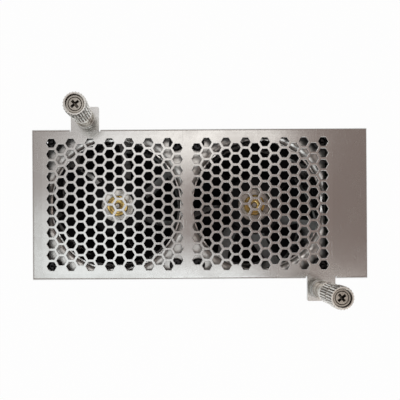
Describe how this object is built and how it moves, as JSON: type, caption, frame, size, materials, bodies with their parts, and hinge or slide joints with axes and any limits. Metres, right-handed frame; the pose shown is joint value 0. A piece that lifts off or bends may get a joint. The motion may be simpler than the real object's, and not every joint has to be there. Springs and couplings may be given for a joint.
{
  "type": "two-fan cooling module",
  "caption": "Hot-swap fan module: axial fans in a steel tray behind a honeycomb front panel, held by spring-loaded captive thumbscrews on two ears.",
  "frame": {"origin": "middle of the bounding box in X and Y, on the rear face of the tray", "axes": "+Z towards the grille side, +X to the right and +Y up as seen from the front"},
  "size_m": [0.1946, 0.113, 0.0665],
  "materials": {
    "satin_steel": "satin zinc-coated sheet with a fine brushed grain",
    "bright_steel": "bright turned steel",
    "dark_steel": "dull lamination and spring steel",
    "black_steel": "black oxide",
    "cast_aluminium": "die-cast, tumbled",
    "brass": "turned",
    "copper": "enamelled copper wire",
    "ferrite": "bonded magnet",
    "black_plastic": "glass-filled, satin",
    "white_plastic": "natural nylon",
    "board": "solder mask over glass-epoxy"
  },
  "bodies": {
    "root": {"front_panel": "satin_steel", "rear_tray": "satin_steel", "fan_1_frame": "cast_aluminium", "fan_1_rear_bearing": "bright_steel", "fan_1_front_bearing": "bright_steel", "fan_1_bearing_tube": "brass", "fan_1_stator_core": "dark_steel", "fan_1_winding": "copper", "fan_1_motor_board": "board", "fan_1_screw_1": "black_steel", "fan_1_screw_2": "black_steel", "fan_1_screw_3": "black_steel", "fan_1_screw_4": "black_steel", "fan_2_frame": "cast_aluminium", "fan_2_rear_bearing": "bright_steel", "fan_2_front_bearing": "bright_steel", "fan_2_bearing_tube": "brass", "fan_2_stator_core": "dark_steel", "fan_2_winding": "copper", "fan_2_motor_board": "board", "fan_2_screw_1": "black_steel", "fan_2_screw_2": "black_steel", "fan_2_screw_3": "black_steel", "fan_2_screw_4": "black_steel", "thumbscrew_1_ferrule": "bright_steel", "thumbscrew_2_ferrule": "bright_steel", "cover_screw_1": "bright_steel", "cover_screw_2": "bright_steel", "cover_screw_3": "bright_steel", "cover_screw_4": "bright_steel", "cover_screw_5": "bright_steel", "cover_screw_6": "bright_steel", "interface_board": "board", "rear_connector": "black_plastic", "board_standoff_1": "bright_steel", "board_standoff_2": "bright_steel", "board_screw_1": "bright_steel", "board_screw_2": "bright_steel", "fan_socket_1": "white_plastic", "fan_socket_2": "white_plastic"},
    "fan_1_rotor": {"fan_1_impeller": "black_plastic", "fan_1_rotor_cup": "bright_steel", "fan_1_shaft_bush": "brass", "fan_1_magnet_ring": "ferrite", "fan_1_shaft": "bright_steel", "fan_1_shaft_clip": "dark_steel"},
    "fan_2_rotor": {"fan_2_impeller": "black_plastic", "fan_2_rotor_cup": "bright_steel", "fan_2_shaft_bush": "brass", "fan_2_magnet_ring": "ferrite", "fan_2_shaft": "bright_steel", "fan_2_shaft_clip": "dark_steel"},
    "thumbscrew_1_carrier": {"thumbscrew_1_washer": "bright_steel", "thumbscrew_1_spring": "bright_steel"},
    "thumbscrew_1_knob": {"thumbscrew_1_knob": "bright_steel", "thumbscrew_1_screw": "bright_steel"},
    "thumbscrew_2_carrier": {"thumbscrew_2_washer": "bright_steel", "thumbscrew_2_spring": "bright_steel"},
    "thumbscrew_2_knob": {"thumbscrew_2_knob": "bright_steel", "thumbscrew_2_screw": "bright_steel"}
  },
  "joints": [
    {"name": "fan_1_spin", "type": "hinge", "parent": "root", "child": "fan_1_rotor", "pos_m": [-0.04935, 0, 0.0267], "axis": [0, 0, 1], "continuous": true},
    {"name": "fan_2_spin", "type": "hinge", "parent": "root", "child": "fan_2_rotor", "pos_m": [0.03505, 0, 0.0267], "axis": [0, 0, 1], "continuous": true},
    {"name": "thumbscrew_1_press", "type": "slide", "parent": "root", "child": "thumbscrew_1_carrier", "axis": [0, 0, -1], "range_m": [0, 0.006], "stiffness_N_per_m": 400, "springref_m": -0.004, "deforming": ["thumbscrew_1_spring"]},
    {"name": "thumbscrew_1_turn", "type": "hinge", "parent": "thumbscrew_1_carrier", "child": "thumbscrew_1_knob", "pos_m": [-0.0662, 0.0501, 0.0523], "axis": [0, 0, 1], "continuous": true},
    {"name": "thumbscrew_2_press", "type": "slide", "parent": "root", "child": "thumbscrew_2_carrier", "axis": [0, 0, -1], "range_m": [0, 0.006], "stiffness_N_per_m": 400, "springref_m": -0.004, "deforming": ["thumbscrew_2_spring"]},
    {"name": "thumbscrew_2_turn", "type": "hinge", "parent": "thumbscrew_2_carrier", "child": "thumbscrew_2_knob", "pos_m": [0.07, -0.0501, 0.0523], "axis": [0, 0, 1], "continuous": true}
  ]
}
